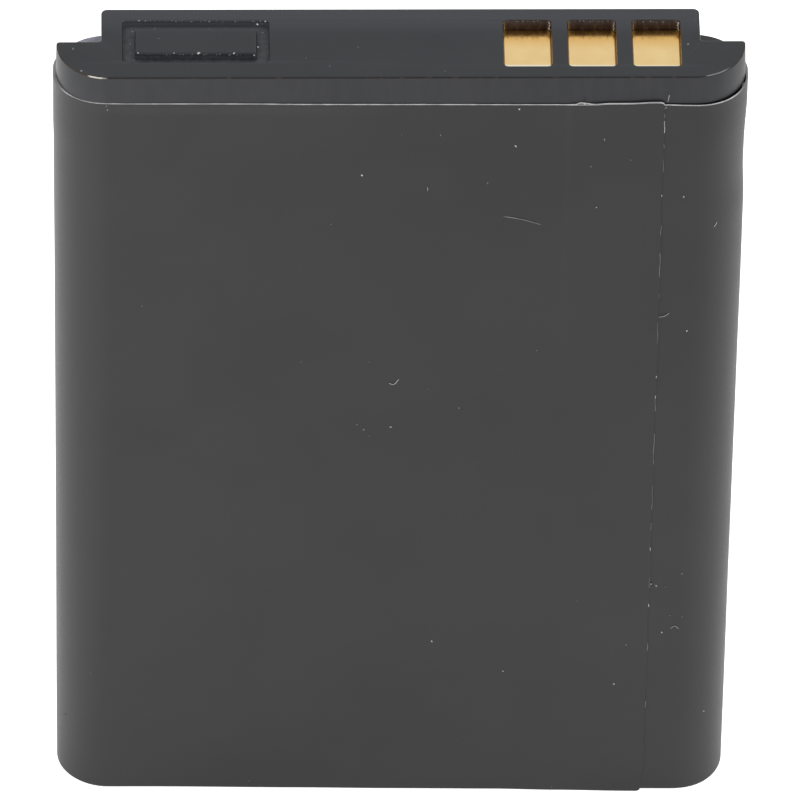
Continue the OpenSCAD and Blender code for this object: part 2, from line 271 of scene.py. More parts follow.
def round_ends(along, reach=3.2, right_share=1.0):
    """right_share in the middle of the film's right bend and 1 in its left one, fading out within reach."""
    middle = to_bend + bend / 2
    left = np.exp(-((along - middle - once_round / 2) / reach) ** 4)
    return right_share * np.exp(-((along - middle) / reach) ** 4) + left


def film_lift(along, height):
    """How far the film's outside stands off its outline: the lap climbs over the film's start, over a
    longer way at the foot than at the top; the top edge flares from the cap, most round the two ends and at
    the front left, where the cap presses on it; the sheet has faint waves."""
    ramp = eased(height, (0, 12, 46), (3.2, 1.2, 0.45))
    lapped = step_up(along, once_round - ramp, ramp) * (film_thin + lap_gap)
    pressed = step_up(along, 49.5, 3) * (1 - step_up(along, 60, 8))
    flare = step_up(height, 46.3, 0.8) * (0.01 + 0.055 * pressed)
    flare = flare + step_up(height, 42.5, 2.5) * 0.045 * round_ends(along)
    turned = 2 * np.pi * along / once_round
    waves = 0.003 * (np.sin(5 * turned + height * 0.095) + np.sin(2 * turned - height * 0.26 + 1.3))
    return lapped + flare + waves


def film_edges(along):
    """Heights of the film's foot and top along it. The lapped end hangs lower and stands higher than the
    rest, and the film's start sticks up beside the lap; both ends have rounded corners."""
    from_end = once_round + lap - along
    foot = eased(along, (0, 5.9, 8, 14.2, 43, 47, 50, 53.2, 61, 65.7, 70.7, 74.3, 78),
                 (0.22, 0.2, 0.12, 0.15, 0.19, 0.19, 0.25, 0.26, 0.21, 0.17, 0.145, 0.125, 0.06))
    top = eased(along, (0, 0.3, 1.1, 4.4, 5.5, 9.5, 13, 16, 41, 44.5, 48, 51.5, 58, 61, 66,
                        73.8, 74.2, 75.2, 75.9, 77, 78.1),
                (-0.02, 0.10, 0.0, -0.01, -0.04, -0.20, -0.22, -0.1, -0.14, -0.35, -0.12, 0.01, 0.02, 0.0,
                 -0.02, -0.02, 0.02, 0.03, 0.09, 0.10, 0.17))
    corner = np.clip(film_corner - from_end, 0, film_corner)
    cut = film_corner - np.sqrt(film_corner ** 2 - corner ** 2)
    return foot + cut, film_top + top - 0.8 * cut


def seam_wander(along, height):
    """How far the film's outer end wanders from a straight cut."""
    share = step_up(along, once_round + lap - 1.5, 1.5)
    wander = 0.022 * (np.sin(height * 0.9) + np.sin(height * 0.37 + 2) + 0.5 * np.sin(height * 2.9 + 1))
    return share * (wander - 0.16 * (1 - step_up(height, 0, 3)))


def closed_sheet(outer, inner):
    """Points and faces of two like grids of points, joined at all four edges: the outer grid's faces, the
    inner grid's, and those between them at the foot, the top, the end and the start."""
    index = np.arange(outer[..., 0].size).reshape(outer.shape[:2])
    a, b, c, d = index[:-1, :-1], index[1:, :-1], index[1:, 1:], index[:-1, 1:]
    faces = [np.stack([a, b, c, d], -1).reshape(-1, 4)]
    faces.append(np.stack([d, c, b, a], -1).reshape(-1, 4) + index.size)
    for edge in (index[:, 0], index[::-1, -1], index[-1, :], index[0, ::-1]):
        faces.append(np.stack([edge[:-1] + index.size, edge[1:] + index.size, edge[1:], edge[:-1]], -1))
    return np.concatenate([outer.reshape(-1, 3), inner.reshape(-1, 3)]), np.concatenate(faces)


def wrapped_film(rows=110):
    """The film's outside as a grid of (distance along, height), and its inside behind that. The sheet is
    thicker at its top rim, where the cut has burred it, and thickest at the two ends, where it creased."""
    end = once_round + lap
    along = np.unique(np.concatenate([np.linspace(0, 1.2, 18), np.linspace(1.2, 73, 250),
                                      np.linspace(73, end - 0.5, 44), np.linspace(end - 0.5, end, 16)]))
    even = np.linspace(0, 1, rows)
    share = even - 0.12 * np.sin(2 * np.pi * even)
    foot, top = film_edges(along)
    height = foot[:, None] + (top - foot)[:, None] * share[None, :]
    spans = len(along) - 1
    along = along[:, None] + 0 * height
    point, normal = round_ended_path(along + seam_wander(along, height))
    point[..., 0] += side_swell(point, height)
    point[..., 2] = height
    outer = point + normal * film_lift(along, height)[..., None]
    outer[..., 0] = np.clip(outer[..., 0], -film_reach, film_reach)
    lapped = step_up(along, once_round - 0.5, 0.5)
    burr = rim_thick - film_thin + 0.02 * lapped + end_crease * round_ends(along, 1.7, 0.4)
    thick = film_thin + burr * step_up(height, 46.2, 0.7)
    points, faces = closed_sheet(outer, outer - normal * thick[..., None])
    is_core = np.zeros(len(faces), np.int32)
    first_cut = 2 * spans * (rows - 1)
    is_core[first_cut:first_cut + 2 * spans] = 1
    return mesh_of("film", points * MM, faces.tolist(), is_core, 50)


def grain(tree, size, detail=2.0, roughness=0.5, stretch=(1, 1, 1)):
    """Noise with features of about size, in metres, on the object's own coordinates; returns its value."""
    mapping = tree.nodes.new("ShaderNodeMapping")
    mapping.inputs["Scale"].default_value = stretch
    tree.links.new(tree.nodes.new("ShaderNodeTexCoord").outputs["Object"], mapping.inputs["Vector"])
    node = tree.nodes.new("ShaderNodeTexNoise")
    node.inputs["Scale"].default_value = 1 / size
    node.inputs["Detail"].default_value = detail
    node.inputs["Roughness"].default_value = roughness
    tree.links.new(mapping.outputs["Vector"], node.inputs["Vector"])
    return node.outputs["Fac"]


def blend_colours(tree, amount, first, second):
    """first where amount is 0 and second where it is 1; each is a colour or a socket."""
    node = tree.nodes.new("ShaderNodeMix")
    node.data_type = "RGBA"
    tree.links.new(amount, node.inputs["Factor"])
    for socket, colour in ((node.inputs[6], first), (node.inputs[7], second)):
        if isinstance(colour, tuple):
            socket.default_value = (*colour, 1)
        else:
            tree.links.new(colour, socket)
    return node.outputs[2]


def spread(tree, noise, low=0.0, high=1.0):
    """The middle range of a noise value, mapped to low..high."""
    return between(tree, noise, 0.3, 0.7, low, high)


def mottled(tree, noise, dark, pale):
    """dark to pale as the noise value goes through its middle range."""
    return blend_colours(tree, spread(tree, noise), dark, pale)


def dusted(tree, tone, spacing, radius, share, dust):
    """The tone with small round specks of dust, one in each of that share of cells of that spacing."""
    cells = tree.nodes.new("ShaderNodeTexVoronoi")
    cells.inputs["Scale"].default_value = 1 / spacing
    tree.links.new(tree.nodes.new("ShaderNodeTexCoord").outputs["Object"], cells.inputs["Vector"])
    near = between(tree, cells.outputs["Distance"], radius / spacing, 0.5 * radius / spacing)
    split = tree.nodes.new("ShaderNodeSeparateColor")
    tree.links.new(cells.outputs["Color"], split.inputs["Color"])
    chosen = maths(tree, "LESS_THAN", split.outputs["Red"], share)
    return blend_colours(tree, product(tree, near, chosen), tone, dust)


def dress(tree, shader, colour, roughness, height=None, depth=0.0):
    """Gives the shader its colour, its roughness, and a bump of that depth, in metres, from height."""
    tree.links.new(colour, shader.inputs["Base Color"])
    if isinstance(roughness, float):
        shader.inputs["Roughness"].default_value = roughness
    else:
        tree.links.new(roughness, shader.inputs["Roughness"])
    if height is not None:
        bump = tree.nodes.new("ShaderNodeBump")
        bump.inputs["Strength"].default_value = 1
        bump.inputs["Distance"].default_value = depth
        tree.links.new(height, bump.inputs["Height"])
        tree.links.new(bump.outputs["Normal"], shader.inputs["Normal"])


def film_print():
    """Dark grey matte film: soft cloudy tone, a fine even texture, and a few pale specks of dust."""
    made, tree, shader = material_tree("film_print")
    clouds = grain(tree, 6 * MM, 3)
    fine = grain(tree, 0.11 * MM, 2)
    tone = mottled(tree, clouds, (0.0195, 0.0175, 0.0185), (0.023, 0.0215, 0.0225))
    tone = dusted(tree, tone, 1.3 * MM, 0.03 * MM, 0.07, (0.10, 0.10, 0.10))
    rough = maths(tree, "ADD", spread(tree, fine, 0.34, 0.40), spread(tree, clouds, -0.02, 0.02))
    dress(tree, shader, tone, rough, fine, 0.002 * MM)
    return made


def film_core():
    """The pale core of the film at its cut edge, greyed unevenly by handling, and darker at its two ends."""
    made, tree, shader = material_tree("film_core")
    grime = between(tree, grain(tree, 0.7 * MM, 4), 0.35, 0.65)
    tone = blend_colours(tree, grime, (0.55, 0.545, 0.55), (0.85, 0.84, 0.83))
    from_middle = maths(tree, "ABSOLUTE", place_in(tree)["X"], 0.0)
    end = between(tree, from_middle, 16.3 * MM, 16.9 * MM)
    dress(tree, shader, blend_colours(tree, end, tone, (0.28, 0.28, 0.29)), 0.7)
    return made


film = linked("wrapped_film", wrapped_film())
film.data.materials.append(film_print())
film.data.materials.append(film_core())
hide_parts("label_wrap")
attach(film, "root")


# Top cap: a near-black moulding that closes the contact end, its skirt under the film. It is one shot of
# plastic, with windows over the contacts, a rectangular ring groove and two cut-back rear corners. It sits a
# little askew in the film. Sizes here are in millimetres until the mesh is made.
cap_askew = math.radians(0.38)
cap_half_w = 16.925
cap_half_t = 2.535
cap_rear = 2.57
cap_top = 48.785
cap_foot = 46.06
pocket_top = 48.11
pocket_half = (14.16, 2.025)
pocket_r = 0.2
step_places = (-cap_half_w, -14.4, -9, 0, 10, 14.4, cap_half_w)
step_levels = (46.975, 47.16, 47.18, 47.155, 47.14, 47.09, 46.95)
draft_places = (-cap_half_w, -9, 0, 14, cap_half_w)
drafts = (0.04, 0, 0.02, 0.08, 0.055)
foot_bevel = 0.03
skirt_inset = 0.1
notch_x = 14.72
notch_y = 0.175
notch_edge_r = 0.17
notch_inner_r = 0.2
notch_rear_r = 0.3
ledge_gap = 0.05
ledge_top = film_top + 0.3
ledge_slope = 0.109
edge_r = 0.075
lip_r = 0.02
groove_r = 0.11
window_last = 12.56
window_pitch = 3.17
window_middles = [window_last - index * window_pitch for index in range(3)]
window_half = (1.2, 1.705)
window_r = 0.24
groove_floor = 48.36
# The ring groove and the block inside it, each by its middle, its half sizes and its corner radius.
groove_place = ((-10.075, 0.18), (3.595, 1.515), 0.2)
block_place = ((-10.075, 0.175), (2.995, 0.92), 0.14)
# The cap's material slots.
plastic, edge_wear_and_highlight, in_window, in_groove, on_band, on_ledge = range(6)


def rounded_loop(corners, steps=9):
    """Points round a right-angled outline, anticlockwise, from corners of (x, y, radius): each corner is a
    quarter circle about the point one radius along both of its sides."""
    points = []
    for index, (x, y, radius) in enumerate(corners):
        here = np.array((x, y))
        before = np.array(corners[index - 1][:2]) - here
        after = np.array(corners[(index + 1) % len(corners)][:2]) - here
        before = before / np.linalg.norm(before)
        after = after / np.linalg.norm(after)
        centre = here + radius * (before + after)
        turned = np.linspace(0, np.pi / 2, steps * 5 if radius > 1 else steps)[:, None]
        points.append(centre - radius * (after * np.cos(turned) + before * np.sin(turned)))
    return np.concatenate(points)


def box_loop(middle, half, radius):
    """A rounded rectangle about middle, anticlockwise."""
    return rounded_loop([(middle[0] + i * half[0], middle[1] + j * half[1], radius)
                         for i, j in ((-1, -1), (1, -1), (1, 1), (-1, 1))])


def grown(loop, distance):
    """The loop moved outwards by distance, along the normal of its own curve."""
    way = np.roll(loop, -1, 0) - np.roll(loop, 1, 0)
    way = way / np.linalg.norm(way, axis=1)[:, None]
    return loop + distance * np.stack([way[:, 1], -way[:, 0]], 1)


class Shell:
    """A mesh of level rings joined by walls, and of flat fills between rings, each with its own material."""

    def __init__(self):
        self.points = []
        self.faces = []
        self.kinds = []
        self.count = 0

    def ring(self, loop, height):
        """Adds the loop at that height, which may differ from point to point; returns its indices."""
        self.points.append(np.column_stack([loop, np.zeros(len(loop)) + height]))
        self.count += len(loop)
        return np.arange(self.count - len(loop), self.count)

    def walls(self, rings, kinds, inward=False):
        """Quads from each ring down to the next of the same loop; they face out of the loop, or into it."""
        for upper, lower, kind in zip(rings, rings[1:], kinds):
            order = [lower, np.roll(lower, -1), np.roll(upper, -1), upper]
            quads = np.stack(order[::-1] if inward else order, 1).tolist()
            self.faces += quads
            self.kinds += [kind] * len(quads)

    def fill(self, rings, kind, up):
        """Triangles that fill the first ring outside the others, facing up or down."""
        points = np.concatenate(self.points)
        index = np.concatenate(rings)
        lines = [[Vector((points[i][0], points[i][1], 0)) for i in ring] for ring in rings]
        for corners in geometry.tessellate_polygon(lines):
            a, b, c = index[list(corners)]
            side = np.cross(points[b][:2] - points[a][:2], points[c][:2] - points[a][:2])
            self.faces.append([a, b, c] if (side > 0) == up else [c, b, a])
            self.kinds.append(kind)

    def rounded_rings(self, loop, top, radius, outward, steps=4):
        """Rings down over an edge rounded to radius: from level at the top to upright on the loop itself.
        The top ring lies inside the loop, or outside it where outward is set, as round a hole."""
        rings = []
        for turned in np.linspace(0, np.pi / 2, steps + 1):
            away = radius * (1 - np.sin(turned))
            height = top - radius * (1 - np.cos(turned))
            rings.append(self.ring(grown(loop, away if outward else -away), height))
        return rings

    def made(self, name):
        """The mesh, set askew."""
        points = set_askew(np.concatenate(self.points))
        return mesh_of(name, points * MM, [[int(i) for i in face] for face in self.faces], self.kinds, 40)


def set_askew(points):
    """Turns the points about the upright axis, as the cap and its contacts sit in the film."""
    cos, sin = math.cos(cap_askew), math.sin(cap_askew)
    points[:, :2] = points[:, :2] @ np.array([[cos, sin], [-sin, cos]])
    return points


def contact_cap():
    """The cap's mesh, in six materials. Its band widens a little downwards at the front."""
    shell = Shell()
    end_r = cap_half_t - 0.02
    outline = rounded_loop([(-cap_half_w, -cap_half_t, end_r), (cap_half_w, -cap_half_t, end_r),
                            (cap_half_w, notch_y, notch_edge_r), (notch_x, notch_y, notch_inner_r),
                            (notch_x, cap_rear, notch_rear_r), (-notch_x, cap_rear, notch_rear_r),
                            (-notch_x, notch_y, notch_inner_r), (-cap_half_w, notch_y, notch_edge_r)])
    edge = shell.rounded_rings(outline, cap_top, edge_r, False, 5)
    shell.walls(edge, [edge_wear_and_highlight] * 5)
    step = eased(outline[:, 0], step_places, step_levels)
    draft = eased(outline[:, 0], draft_places, drafts)
    draft = (draft * (1 - step_up(outline[:, 1], 0.2, 1)))[:, None]
    levels = [(draft, step + foot_bevel), (draft - foot_bevel, step), (-skirt_inset, step),
              (-skirt_inset, cap_foot)]
    rings = [edge[-1]] + [shell.ring(grown(outline, away), height) for away, height in levels]
    shell.walls(rings, (on_band, plastic, plastic, plastic))
    pocket = box_loop((0, 0), pocket_half, pocket_r)
    pocket_foot = shell.ring(pocket, cap_foot)
    pocket_ceiling = shell.ring(pocket, pocket_top)
    shell.walls([pocket_ceiling, pocket_foot], [plastic], inward=True)
    shell.fill([rings[-1], pocket_foot], plastic, up=False)
    top_holes = []
    ceiling_holes = []
    for middle in window_middles:
        window = box_loop((middle, 0), window_half, window_r)
        lips = shell.rounded_rings(window, cap_top, lip_r, True)
        foot = shell.ring(window, pocket_top)
        shell.walls(lips + [foot], [edge_wear_and_highlight] * 4 + [in_window], inward=True)
        top_holes.append(lips[0])
        ceiling_holes.append(foot)
    shell.fill([pocket_ceiling] + ceiling_holes, plastic, up=False)
    side_kinds = [plastic] * 4 + [in_groove]
    groove = shell.rounded_rings(box_loop(*groove_place), cap_top, groove_r, True)
    groove.append(shell.ring(box_loop(*groove_place), groove_floor))
    shell.walls(groove, side_kinds, inward=True)
    block = shell.rounded_rings(box_loop(*block_place), cap_top, groove_r, False)
    block.append(shell.ring(box_loop(*block_place), groove_floor))
    shell.walls(block, side_kinds)
    shell.fill([groove[-1], block[-1]], in_groove, up=True)
    shell.fill([block[0]], plastic, up=True)
    shell.fill([edge[0]] + top_holes + [groove[0]], plastic, up=True)
    for side in (-1, 1):
        corner_ledge(shell, side)
    return shell.made("contact_cap")


def corner_ledge(shell, side):
    """The foot of one rear notch: a wedge under the cut-back corner, round outside, falling to the rear."""
    radius = cap_half_t - skirt_inset
    centre = cap_half_w - cap_half_t
    low_x = notch_x - ledge_gap
    low_y = notch_y - ledge_gap
    turns = np.linspace(math.asin(low_y / radius), math.acos((low_x - centre) / radius), 24)
    arc = np.stack([centre + radius * np.cos(turns), radius * np.sin(turns)], 1)
    plan = np.concatenate([arc, [(low_x, low_y)]])
    if side < 0:
        plan = plan[::-1] * (-1, 1)
    upper = shell.ring(plan, ledge_top - ledge_slope * (plan[:, 1] - notch_y))
    lower = shell.ring(plan, cap_foot)
    shell.walls([upper, lower], [plastic])
    shell.fill([upper], on_ledge, up=True)
    shell.fill([lower], plastic, up=False)


def cap_plastic():
    """Near-black moulded plastic: fine spark-eroded texture, faint flow marks, some dust, paler behind."""
    made, tree, shader = material_tree("cap_plastic")
    clouds = grain(tree, 3 * MM, 3)
    fine = grain(tree, 0.09 * MM, 3)
    tone = mottled(tree, clouds, (0.0095, 0.0120, 0.0160), (0.0130, 0.0155, 0.0195))
    rear = between(tree, place_in(tree)["Y"], 0.5 * MM, 1.9 * MM)
    tone = blend_colours(tree, rear, tone, (0.030, 0.0315, 0.041))
    tone = dusted(tree, tone, 0.8 * MM, 0.03 * MM, 0.10, (0.12, 0.12, 0.12))
    dress(tree, shader, tone, spread(tree, fine, 0.34, 0.44), fine, 0.003 * MM)
    return made


def cap_band():
    """The band round the cap: the same plastic, paler than the cap's top, with faint upright rubs."""
    made, tree, shader = material_tree("cap_band")
    rubs = grain(tree, 0.5 * MM, 3, stretch=(1, 1, 0.2))
    clouds = grain(tree, 4 * MM, 3)
    fine = grain(tree, 0.09 * MM, 3)
    tone = mottled(tree, clouds, (0.0185, 0.0195, 0.0235), (0.0225, 0.0235, 0.0275))
    tone = blend_colours(tree, between(tree, rubs, 0.35, 0.65, 0, 0.25), tone, (0.036, 0.036, 0.040))
    tone = dusted(tree, tone, 1.1 * MM, 0.03 * MM, 0.10, (0.12, 0.12, 0.12))
    dress(tree, shader, tone, spread(tree, fine, 0.29, 0.36), fine, 0.003 * MM)
    return made


def cap_edge_wear_and_highlights():
    """The cap's top edge: rubbed smoother than the faces and browned in places, most at the left end, with
    a pale painted highlight at the front left and a grey painted highlight at the front right."""
    made, tree, shader = material_tree("cap_edge_wear_and_highlights")
    where = place_in(tree)
    left = between(tree, where["X"], -14.6 * MM, -15.2 * MM, 0.56, 0.44)
    worn = maths(tree, "SUBTRACT", grain(tree, 0.35 * MM, 4), left)
    tone = blend_colours(tree, between(tree, worn, 0, 0.06), (0.008, 0.0072, 0.0068), (0.030, 0.019, 0.011))
    # Each painted highlight: its first and last X, its lowest and highest Z, how ragged it is, and its
    # colour.
    painted_highlights = ((-15.42, -14.32, 48.705, 48.782, 0.3, (0.66, 0.63, 0.56)),
              (14.85, 16.25, 48.745, 49.0, 0.25, (0.18, 0.185, 0.195)))
    for first, last, low, high, ragged, colour in painted_highlights:
        highlight = product(tree, between(tree, where["X"], first * MM, (first + 0.2) * MM),
                        between(tree, where["X"], last * MM, (last - 0.5) * MM),
                        between(tree, where["Y"], -1.2 * MM, -1.4 * MM),
                        between(tree, where["Z"], low * MM, (low + 0.025) * MM),
                        between(tree, where["Z"], high * MM, (high - 0.012) * MM),
                        between(tree, grain(tree, 0.18 * MM, 3), ragged, ragged + 0.12))
        # Paints the highlight over the edge's own tone.
        tone = blend_colours(tree, highlight, tone, colour)
    dress(tree, shader, tone, 0.26, grain(tree, 0.2 * MM, 3), 0.006 * MM)
    return made


def window_wall():
    """The walls of the contact windows, in painted light: paler grey high up for the room's light, brown
    lower down for the glow of the gold, the side walls orange as a painted reflection of the gold; with
    specks of dust.
    """
    made, tree, shader = material_tree("window_wall")
    marks = grain(tree, 0.2 * MM, 3, stretch=(1, 1, 0.3))
    height = place_in(tree)["Z"]
    marked = between(tree, marks, 0.35, 0.65)
    # Painted light: brown low down for the gold's glow, paler grey high up for the room's light.
    low = blend_colours(tree, marked, (0.024, 0.014, 0.012), (0.048, 0.027, 0.021))
    high = blend_colours(tree, marked, (0.054, 0.042, 0.044), (0.072, 0.057, 0.060))
    tone = blend_colours(tree, between(tree, height, 48.3 * MM, 48.65 * MM), low, high)
    # Painted reflection: the side walls take the orange of the gold.
    from_middle = maths(tree, "ABSOLUTE", place_in(tree)["Y"], 0.0)
    side = between(tree, from_middle, 1.62 * MM, 1.4 * MM)
    tone = blend_colours(tree, side, tone, (0.24, 0.12, 0.045))
    tone = dusted(tree, tone, 0.3 * MM, 0.03 * MM, 0.2, (0.35, 0.30, 0.25))
    dress(tree, shader, tone, spread(tree, marks, 0.2, 0.3))
    return made


def groove_dust_and_painted_light():
    """The ring groove: rough plastic, greyed by fine dust settled in it, with crumbs along its walls; its
    rear wall is painted paler, as painted light that lifts its shade.
    """
    made, tree, shader = material_tree("groove_dust_and_painted_light")
    settled = between(tree, grain(tree, 0.25 * MM, 4), 0.35, 0.65)
    tone = blend_colours(tree, settled, (0.044, 0.046, 0.053), (0.068, 0.070, 0.078))
    # Painted light: the rear wall paler, to lift the shade that falls on it.
    rear = between(tree, place_in(tree)["Y"], 1.1 * MM, 1.4 * MM)
    tone = blend_colours(tree, rear, tone, (0.080, 0.083, 0.092))
    tone = dusted(tree, tone, 0.22 * MM, 0.035 * MM, 0.16, (0.40, 0.40, 0.40))
    dress(tree, shader, tone, 0.6, grain(tree, 0.12 * MM, 3), 0.02 * MM)
    return made


def notch_ledge():
    """The ledges at the foot of the two rear notches, the left one with a pale silvery painted sheen."""
    made, tree, shader = material_tree("notch_ledge")
    # Painted sheen on the left ledge, where light from behind catches it.
    sheen_on_left = between(tree, place_in(tree)["X"], 0.0, -10 * MM)
    painted_sheen = mottled(tree, grain(tree, 0.4 * MM, 3), (0.20, 0.20, 0.25), (0.34, 0.34, 0.41))
    dress(tree, shader, blend_colours(tree, sheen_on_left, (0.016, 0.016, 0.018), painted_sheen), 0.5)
    return made


cap = linked("contact_cap", contact_cap())
for made in (cap_plastic(), cap_edge_wear_and_highlights(), window_wall(), groove_dust_and_painted_light(), cap_band(), notch_ledge()):
    cap.data.materials.append(made)
shading = cap.modifiers.new("even_shading", "WEIGHTED_NORMAL")
shading.keep_sharp = True
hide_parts("top_cap")
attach(cap, "root")


# Contacts: three gold-plated copper pads on the board, at the bottom of the cap's windows. The plating is
# dished a little between its front and rear edges, and a phone's contact springs have wiped it.
pad_half = (1.3, 1.805)
pad_top = 48.10
pad_raised = 0.05
pad_bottom = 48.061
# Where the pale painted highlight along the front of each pad starts, and where it is full, in Y.
highlight_from = -0.79
highlight_to = -0.91


def dished_pad(middle):
    """A closed pad: a grid of (across, along) over a flat underside. What lies inside the window is pressed
    up into it, and sinks a little towards the middle."""
    across_pad = np.sin(np.linspace(-1, 1, 41) * np.pi / 2)[:, None]
    along_pad = np.sin(np.linspace(-1, 1, 61) * np.pi / 2)[None, :]
    x = middle + pad_half[0] * (across_pad + 0 * along_pad)
    y = pad_half[1] * (along_pad + 0 * across_pad)
    inside = step_up(window_half[0] - np.abs(x - middle), 0, 0.02)
    inside = inside * step_up(window_half[1] - np.abs(y), 0.03, 0.03)
    dish = 0.015 * (1 - step_up(np.abs(y), 1.2, 0.5))
    top = np.stack([x, y, pad_top + inside * (pad_raised - dish)], -1)
    low = np.stack([x, y, np.full_like(x, pad_bottom)], -1)
    points, faces = closed_sheet(top, low)
    return mesh_of("pad", set_askew(points) * MM, faces.tolist(), sharp=40)


def contact_gold():
    """Gold plate over nickel, satin, faintly wiped along Y, with a painted reflection of the dark rear wall
    that deepens its tone at the rear, and a pale painted highlight along the front."""
    made, tree, shader = material_tree("contact_gold")
    wiped = grain(tree, 0.3 * MM, 2, stretch=(1, 0.25, 1))
    clouds = grain(tree, 1.2 * MM, 2)
    along_pad = place_in(tree)["Y"]
    tone = mottled(tree, clouds, (0.865, 0.63, 0.295), (0.905, 0.675, 0.33))
    # Painted reflection of the dark rear wall: the gold deeper and more orange towards the rear.
    rear = between(tree, along_pad, 0.1 * MM, 1.5 * MM)
    tone = blend_colours(tree, rear, tone, (0.80, 0.47, 0.14))
    # Painted highlight: pale along the front of the pad.
    front_highlight = between(tree, along_pad, highlight_from * MM, highlight_to * MM)
    tone = blend_colours(tree, front_highlight, tone, (0.92, 0.87, 0.71))
    shader.inputs["Metallic"].default_value = 1
    share = maths(tree, "DIVIDE", along_pad, window_half[1] * MM)
    hollow = product(tree, share, share)
    dress(tree, shader, tone, spread(tree, wiped, 0.13, 0.19), hollow, 0.095 * MM)
    return made


gold = contact_gold()
for name, middle in zip(("positive_contact", "middle_contact", "negative_contact"), window_middles):
    pad = linked(name + "_pad", dished_pad(middle))
    pad.data.materials.append(gold)
    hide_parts(name)
    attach(pad, "root")


# Base: a shallow black moulding glued to the foot of the cell, whose rim the film covers. Only its
# underside shows.
def finish_nodes(made, *names):
    """Gives the CAD nodes that material alone."""
    for name in names:
        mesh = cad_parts[name].data
        mesh.materials.clear()
        mesh.materials.append(made)


def base_plastic():
    """Black moulded plastic, scuffed where the battery slides into a phone."""
    made, tree, shader = material_tree("base_plastic")
    clouds = grain(tree, 4 * MM, 3)
    rubs = grain(tree, 0.6 * MM, 4, stretch=(0.15, 1, 1))
    fine = grain(tree, 0.1 * MM, 3)
    tone = mottled(tree, clouds, (0.014, 0.0145, 0.016), (0.019, 0.0195, 0.021))
    tone = blend_colours(tree, between(tree, rubs, 0.56, 0.66, 0, 0.5), tone, (0.045, 0.045, 0.048))
    tone = dusted(tree, tone, 1.2 * MM, 0.03 * MM, 0.1, (0.12, 0.12, 0.12))
    dress(tree, shader, tone, spread(tree, fine, 0.36, 0.46), fine, 0.004 * MM)
    return made


finish_nodes(base_plastic(), "bottom_cap")


# Cell: a deep-drawn aluminium can with a welded lid, a sealed filling hole, and a riveted terminal in a white
# plastic gasket. Tissue tape holds the base and the cap on it. All of this lies under the film and the cap.
def drawn_aluminium():
    """Bare aluminium, drawn upwards: fine upright lines, clouded by handling."""
    made, tree, shader = material_tree("drawn_aluminium")
    lines = grain(tree, 0.08 * MM, 3, stretch=(1, 1, 0.02))
    clouds = grain(tree, 5 * MM, 3)
    tone = mottled(tree, clouds, (0.74, 0.75, 0.76), (0.84, 0.845, 0.85))
    shader.inputs["Metallic"].default_value = 1
    dress(tree, shader, tone, spread(tree, lines, 0.28, 0.42), lines, 0.003 * MM)
    return made


def rolled_nickel():
    """Nickel strip: rolling lines along X and a faint yellow cast."""
    made, tree, shader = material_tree("rolled_nickel")
    lines = grain(tree, 0.06 * MM, 3, stretch=(0.02, 1, 1))
    clouds = grain(tree, 2 * MM, 3)
    tone = mottled(tree, clouds, (0.66, 0.63, 0.57), (0.76, 0.73, 0.68))
    shader.inputs["Metallic"].default_value = 1
    dress(tree, shader, tone, spread(tree, lines, 0.22, 0.36), lines, 0.002 * MM)
    return made


def gasket_nylon():
    """Natural nylon, milky, with soft flow marks."""
    made, tree, shader = material_tree("gasket_nylon")
    flow = grain(tree, 0.8 * MM, 3)
    tone = mottled(tree, flow, (0.74, 0.73, 0.66), (0.82, 0.81, 0.75))
    dress(tree, shader, tone, spread(tree, flow, 0.38, 0.48), flow, 0.003 * MM)
    return made


def fibrous(name, dark, pale, fibre, roughness):
    """Paper or tissue: long fibres of that size, in metres, laid every way, between the two tones."""
    made, tree, shader = material_tree(name)
    one_way = grain(tree, fibre, 4, 0.6, (0.12, 1, 1))
    other_way = grain(tree, fibre, 4, 0.6, (1, 0.12, 0.6))
    mat = maths(tree, "MULTIPLY", maths(tree, "ADD", one_way, other_way), 0.5)
    tone = blend_colours(tree, between(tree, mat, 0.38, 0.62), dark, pale)
    dress(tree, shader, tone, roughness, mat, 0.008 * MM)
    return made


finish_nodes(drawn_aluminium(), "cell", "filling_plug")
finish_nodes(rolled_nickel(), "negative_terminal", "clad_plate", "fuse_lead", "negative_lead",
             "positive_lead")
finish_nodes(gasket_nylon(), "terminal_gasket")
finish_nodes(fibrous("insulation_paper", (0.54, 0.47, 0.31), (0.68, 0.61, 0.44), 0.12 * MM, 0.75),
             "insulating_paper")
finish_nodes(fibrous("tissue_tape", (0.70, 0.68, 0.62), (0.83, 0.81, 0.76), 0.2 * MM, 0.65),
             "bottom_tape", "left_cap_tape", "right_cap_tape")


# Protection circuit: a green fibreglass board under the cap that carries the contacts, two moulded chips with
# tinned legs, small resistors and capacitors with plated ends, and a thermal fuse on the cell's lid below it.
def solder_mask():
    """Green lacquer over a woven board: the weave shows faintly through it."""
    made, tree, shader = material_tree("solder_mask")
    where = place_in(tree)
    threads_x = maths(tree, "SINE", maths(tree, "MULTIPLY", where["X"], 14 / MM), 0.0)
    threads_y = maths(tree, "SINE", maths(tree, "MULTIPLY", where["Y"], 14 / MM), 0.0)
    weave = product(tree, threads_x, threads_y)
    tone = mottled(tree, grain(tree, 2 * MM, 3), (0.022, 0.135, 0.055), (0.034, 0.17, 0.075))
    tone = blend_colours(tree, between(tree, weave, -0.6, 0.9, 0, 0.3), tone, (0.06, 0.24, 0.11))
    dress(tree, shader, tone, 0.3, weave, 0.002 * MM)
    return made


